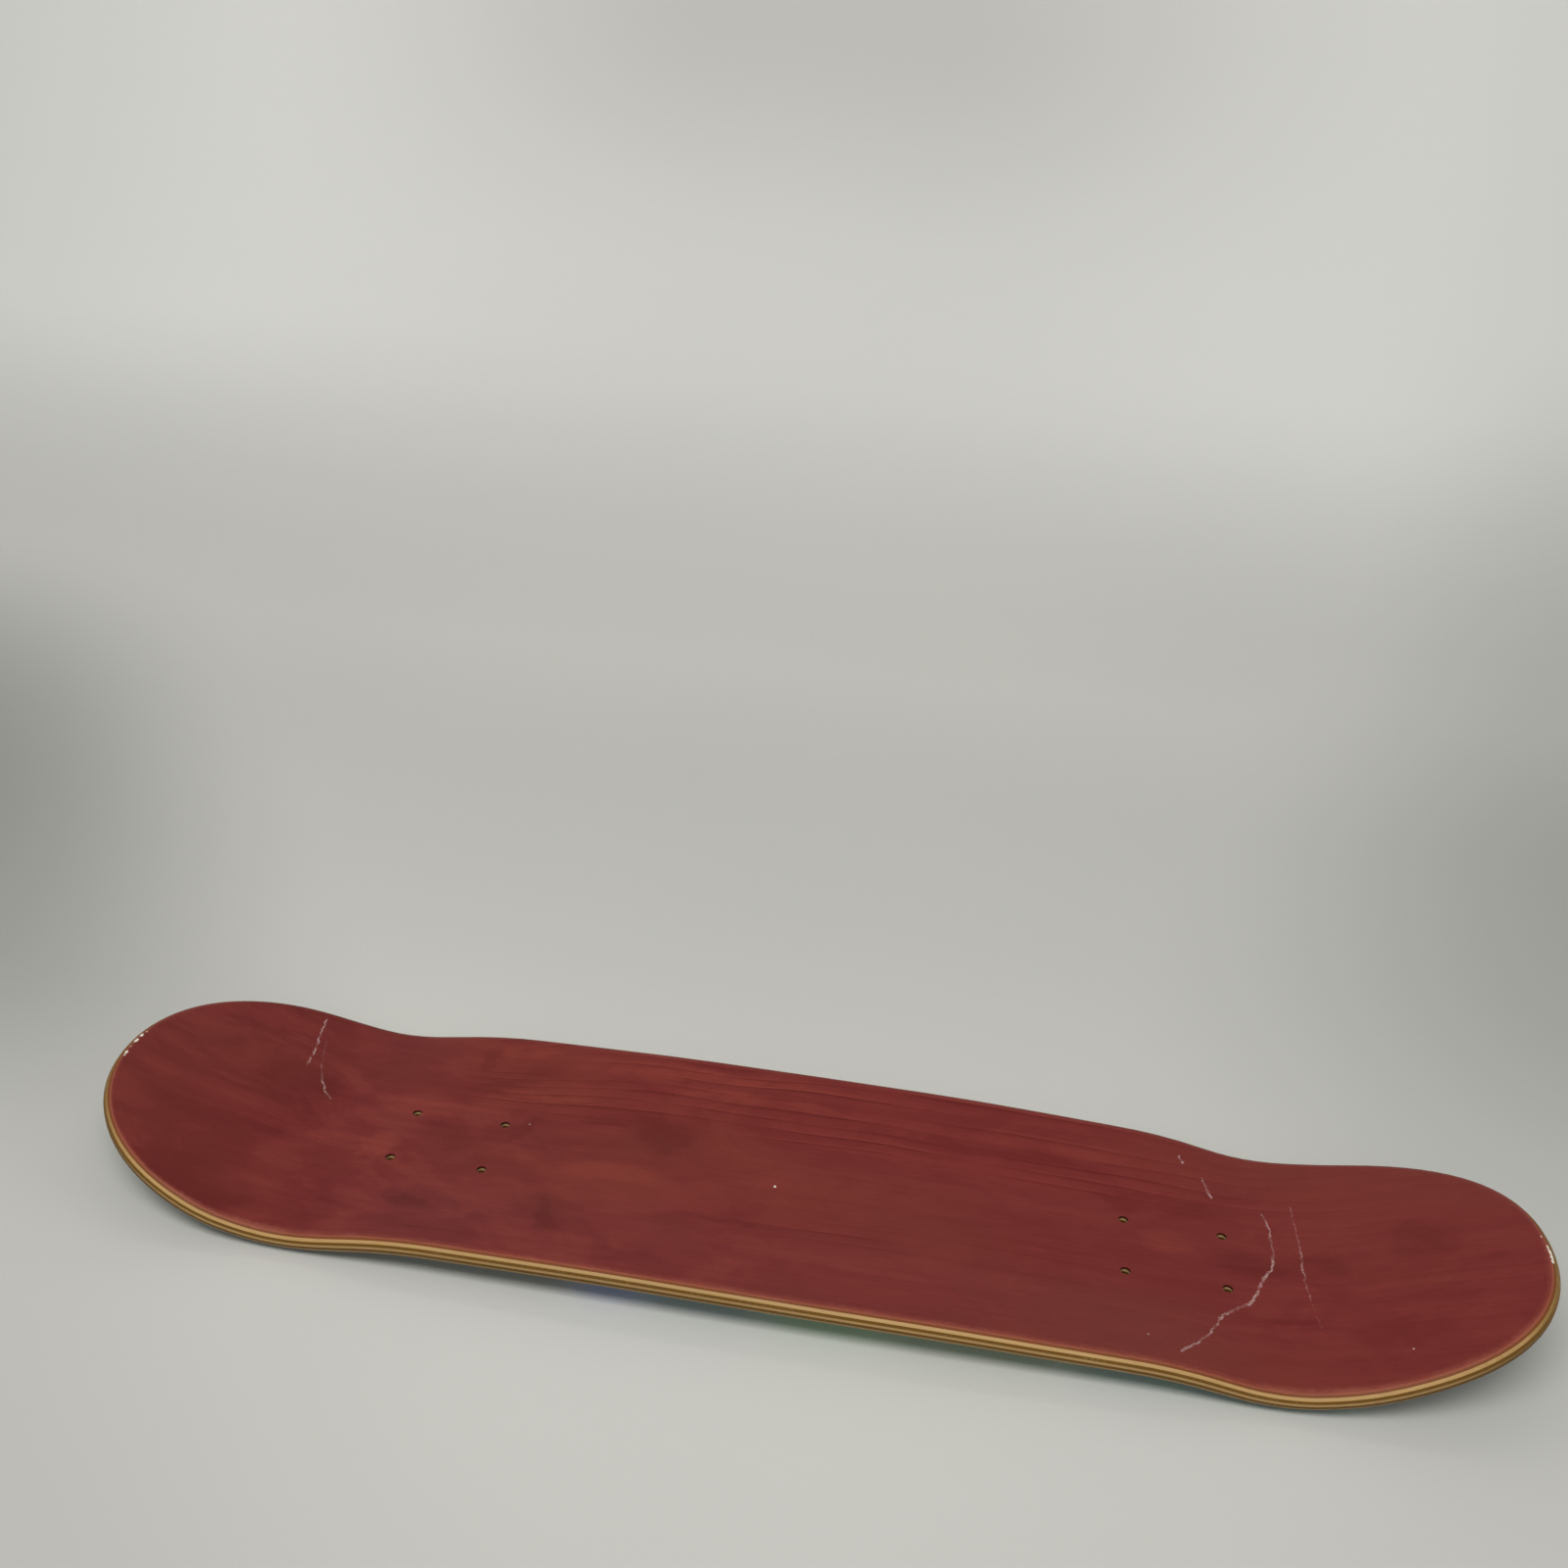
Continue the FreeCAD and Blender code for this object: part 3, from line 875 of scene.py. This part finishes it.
# %% Bands of the print
GROUND = paint(56, 70, 52)
BANDS = [
    # middle in metres, swing, waves per metre, start, colour
    (0.300, 0.030, 7.0, 0.4, paint(40, 112, 100)),
    (0.190, 0.034, 6.2, 1.9, paint(96, 128, 74)),
    (0.085, 0.030, 7.4, 3.1, paint(92, 150, 84)),
    (-0.010, 0.014, 6.6, 4.6, paint(44, 104, 106)),
    (-0.055, 0.014, 6.4, 2.3, paint(28, 82, 176)),
    (-0.088, 0.014, 6.4, 2.3, paint(52, 68, 50)),
]
CREST = paint(232, 236, 226)
BORDER_SOFT = 0.0004  # half the width over which one colour turns into the next
CREST_IN, CREST_HALF, CREST_END = 0.004, 0.0011, 0.0017
print("bands in the print:", len(BANDS))

# %% Printed underside
coated_bottom, tree, shader = new_finish("coated_bottom_veneer")
place = coordinates(tree)
normal = coordinates(tree, "Normal")
x, y, z = place.parts()
print_colour = GROUND
crest = None
for middle, swing, waves, begin, band_colour in BANDS:
    curve = (y * (waves * 2 * math.pi) + begin).math("SINE") * swing
    beyond = middle + curve - x
    print_colour = beyond.step(-BORDER_SOFT, BORDER_SOFT).blend(print_colour, band_colour)
    line = 1.0 - (beyond - CREST_IN).math("ABSOLUTE").step(CREST_HALF, CREST_END)
    crest = line if crest is None else most(crest, line)
print_colour = (crest * 0.9).blend(print_colour, CREST)
figure = place_group(tree, maple_figure, Place=place)
print_colour = (figure["Fibres"].step(0.45, 0.8) * 0.14).blend(print_colour, GROUND)
print("coated_bottom_veneer has", len(tree.nodes), "nodes with its print")

# %% [markdown]
# The print covers what faces down; the ply's rounded edge shows its wood. The
# normal decides, pushed about a little by noise, so that the border is uneven.

# %% Edge of the print
wood = place_group(
    tree, edge_wood, Place=place, Normal=normal, Cross_grain=0.0,
    Side_colour=paint(206, 166, 116), End_colour=paint(150, 112, 66), Glue_colour=GLUE,
)
normal_z = normal.parts()[2]
ragged = (place.noise(420.0, 3.0, 0.6) - 0.5) * 0.12
printed = (ragged - normal_z).step(0.50, 0.62)
feed(shader.inputs["Base Color"], printed.blend(wood["Colour"], print_colour))
feed(shader.inputs["Roughness"], 0.50 - printed * 0.22 + figure["Fibres"] * 0.05)
shader.inputs["Specular IOR Level"].default_value = 0.45
apply_relief(tree, shader, wood["Height"] * 0.4 + figure["Fibres"] * 0.6, 0.04, 0.35)
dress("ply_7_bottom_face", coated_bottom)

# %% [markdown]
# ## Paper floor and backdrop
# The deck lies on a pale paper sweep that curves up behind it. A plane and a
# wall would show their corner, so the sweep is one sheet: flat, then a quarter
# circle, then upright. It is stage, not part of the object.


# %% Sweep
def sweep_sheet(front, back, radius, height, half_width, rows=48, columns=9):
    """Sheet whose section is a floor line, a quarter circle and an upright line.

    Along the section, a share of its length gives the place: y grows over the
    floor, then y = back + radius * sin(turn), z = radius * (1 - cos(turn)).
    """
    floor_length = back - front
    arc_length = radius * math.pi / 2
    travelled = np.linspace(0, floor_length + arc_length + height, rows)
    turn = np.clip((travelled - floor_length) / radius, 0, math.pi / 2)
    upright = np.clip(travelled - floor_length - arc_length, 0, None)
    y = front + np.minimum(travelled, floor_length) + radius * np.sin(turn)
    z = radius * (1 - np.cos(turn)) + upright
    x = np.linspace(-half_width, half_width, columns)
    grid = np.empty((rows, columns, 3))
    grid[..., 0] = x[None, :]
    grid[..., 1] = y[:, None]
    grid[..., 2] = z[:, None]
    row, column = np.meshgrid(np.arange(rows - 1), np.arange(columns - 1), indexing="ij")
    corner = (row * columns + column).ravel()
    faces = np.stack([corner, corner + 1, corner + columns + 1, corner + columns], axis=1)
    mesh = bpy.data.meshes.new("paper_sweep")
    mesh.from_pydata(grid.reshape(-1, 3).tolist(), [], faces.tolist())
    mesh.polygons.foreach_set("use_smooth", np.ones(len(faces), dtype=bool))
    sheet = bpy.data.objects.new("paper_sweep", mesh)
    bpy.context.scene.collection.objects.link(sheet)
    return sheet


sweep = sweep_sheet(front=-2.2, back=1.0, radius=0.9, height=2.4, half_width=3.2)
print("sweep has", len(sweep.data.polygons), "faces")

# %% [markdown]
# In the photograph the paper is dimmer behind the deck and to both sides, and bright high up. That light
# is painted into the sheet's colour: painted shade where it is dimmer and a painted highlight high up,
# because lamps for it would change the light on the deck too. Each dim place is a product of smooth steps
# along the floor and the wall, in metres.

# %% Painted light and shade on the paper
BLACK = (0.0, 0.0, 0.0, 1.0)

paper, tree, shader = new_finish("paper")
place = coordinates(tree)
soft = place.stretched(1.6, 1.6, 1.6).noise(1.0, 2.0, 0.5)
grainy = place.noise(900.0, 2.0, 0.5)
x, y, z = place.parts()
# Two slanting strips, one on each side of the deck, that fade in and out again
leftward = x + y * 0.65
rightward = x - y * 0.25
to_left = (1.0 - leftward.step(-0.52, -0.20)) * leftward.step(-1.3, -0.8)
to_right = rightward.step(0.10, 0.46) * (1.0 - rightward.step(0.8, 1.3))
# Each grows dimmer from the front to the deck and falls off again far behind it
dim_left = to_left * (y.step(-0.15, 0.15) * 0.29 + 0.09) * (1.0 - y.step(0.35, 1.10))
dim_right = to_right * (y.step(-0.25, 0.45) * 0.19 - y.step(0.55, 1.1) * 0.10 + 0.06)
# Behind the deck; high up, the wall's middle is dimmer than what lies far aside
far_aside = (x + 0.28).math("ABSOLUTE").step(0.15, 0.95)
high = z.step(0.25, 0.62) * (1.0 - far_aside)
dim_middle = y.step(-0.05, 0.35) * 0.09 - y.step(0.50, 0.95) * 0.11
dim = (1.0 - y.step(-0.40, -0.02)) * 0.12 + most(dim_left, dim_right) + dim_middle
low_right = to_right * (1.0 - z.step(0.10, 0.30))
bright = most(z.step(-0.02, 0.20) * (far_aside * 0.40 + 0.55 - low_right * 0.35) - high * 0.55, 0.0)
colour = soft.blend(paint(211, 211, 207), paint(217, 217, 212))
colour = (grainy * 0.10).blend(colour, paint(195, 195, 190))
# Painted shade where the paper is dim, and below it a painted highlight where it is bright
colour = dim.blend(colour, BLACK)
feed(shader.inputs["Base Color"], (bright * 0.9).blend(colour, paint(246, 246, 242)))
shader.inputs["Roughness"].default_value = 0.85
shader.inputs["Specular IOR Level"].default_value = 0.2
apply_relief(tree, shader, grainy, 0.05, 0.15)
print("paper has", len(tree.nodes), "nodes")

# %% [markdown]
# Seen from behind or from below, the paper would hide the deck. So it is clear
# on its back. Under the deck it also lets lamp light through, or the print could
# not be seen from below. Only shadow rays pass there, so from above the paper
# looks whole.

# %% Clear from behind
WINDOW_ALONG, WINDOW_ACROSS = (0.37, 0.40), (0.07, 0.085)  # where lamp light passes
FLOOR_ONLY = (0.001, 0.002)

clear = tree.nodes.new("ShaderNodeBsdfTransparent")
sides = Term(tree, tree.nodes.new("ShaderNodeNewGeometry").outputs["Backfacing"])
shadow_ray = Term(tree, tree.nodes.new("ShaderNodeLightPath").outputs["Is Shadow Ray"])
under_deck = 1.0 - x.math("ABSOLUTE").step(*WINDOW_ALONG)
under_deck = under_deck * (1.0 - y.math("ABSOLUTE").step(*WINDOW_ACROSS))
one_sided = tree.nodes.new("ShaderNodeMixShader")
feed(one_sided.inputs[0], most(sides, shadow_ray * under_deck * (1.0 - z.step(*FLOOR_ONLY))))
tree.links.new(shader.outputs[0], one_sided.inputs[1])
tree.links.new(clear.outputs[0], one_sided.inputs[2])
tree.links.new(one_sided.outputs[0], tree.nodes["Material Output"].inputs[0])

sweep.data.materials.append(paper)
sweep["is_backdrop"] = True
print("the sweep is stage and wears", paper.name)

# %% [markdown]
# ## Soft studio light
# The photograph was lit by large soft sources above and before the deck: its
# near edge is bright and casts only a thin shadow, which lies just below it.
# A wide lamp overhead, a little nearer than the deck, and a weak one in front
# give that. One on each side stands for the pale walls, and one lights the
# backdrop. The last one shines up from below, through the clear part of the
# paper, and only the print catches its light.


# %% Light
def soft_lamp(name, place, target, width, height, watts, colour):
    """Rectangular lamp at a place, turned to face the target."""
    data = bpy.data.lights.new(name, "AREA")
    data.shape = "RECTANGLE"
    data.size, data.size_y = width, height
    data.energy = watts
    data.color = colour
    lamp = bpy.data.objects.new(name, data)
    bpy.context.scene.collection.objects.link(lamp)
    lamp.location = place
    lamp.rotation_mode = "QUATERNION"
    lamp.rotation_quaternion = (Vector(target) - Vector(place)).to_track_quat("-Z", "Y")


LAMPS = [
    # name, place, what it faces, width, height, watts, colour
    ("overhead", (-0.1, -1.05, 2.0), (0.0, 0.0, 0.0), 1.9, 0.8, 30.0, (1.0, 0.985, 0.96)),
    ("front", (0.2, -2.2, 1.1), (0.0, 0.0, 0.0), 1.8, 1.2, 5.5, (1.0, 0.99, 0.97)),
    ("backdrop", (-0.6, 1.0, 1.7), (-0.6, 1.9, 0.5), 3.0, 0.6, 7.5, (1.0, 0.99, 0.97)),
    ("left", (-2.0, -0.4, 1.3), (0.0, 0.0, 0.1), 1.2, 1.2, 2.0, (1.0, 0.97, 0.94)),
    ("right", (2.1, -0.2, 1.4), (0.0, 0.1, 0.1), 1.2, 1.2, 1.6, (0.95, 0.98, 1.0)),
    ("below", (0.0, 0.5, -1.6), (0.0, 0.0, 0.0), 1.6, 0.8, 4.0, (1.0, 1.0, 1.0)),
]
for lamp in LAMPS:
    soft_lamp(*lamp)

# %% [markdown]
# A dim world fills the shadows, as pale walls do. The camera sees it brighter
# than it shines, so that the room beyond the paper looks pale and the shadow
# under the deck keeps its depth.

# %% World
WALLS = (0.93, 0.95, 0.93, 1.0)
STRENGTH_GIVEN, STRENGTH_SEEN = 0.26, 0.50

world = bpy.data.worlds.new("studio")
world.use_nodes = True
tree = world.node_tree
giving = tree.nodes["Background"]
seen = tree.nodes.new("ShaderNodeBackground")
for background, strength in ((giving, STRENGTH_GIVEN), (seen, STRENGTH_SEEN)):
    background.inputs["Color"].default_value = WALLS
    background.inputs["Strength"].default_value = strength
ray = tree.nodes.new("ShaderNodeLightPath")
either = tree.nodes.new("ShaderNodeMixShader")
tree.links.new(ray.outputs["Is Camera Ray"], either.inputs[0])
tree.links.new(giving.outputs[0], either.inputs[1])
tree.links.new(seen.outputs[0], either.inputs[2])
tree.links.new(either.outputs[0], tree.nodes["World Output"].inputs[0])
bpy.context.scene.world = world
bpy.context.scene.view_settings.view_transform = "Standard"
print("the world gives", STRENGTH_GIVEN, "and is seen at", STRENGTH_SEEN)

# %% [markdown]
# ## Size
# The finish does not change the part's size. The visual size is printed.

# %% Size
low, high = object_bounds()
print("visual size in mm:", [round(float(side) * MM, 1) for side in high - low])
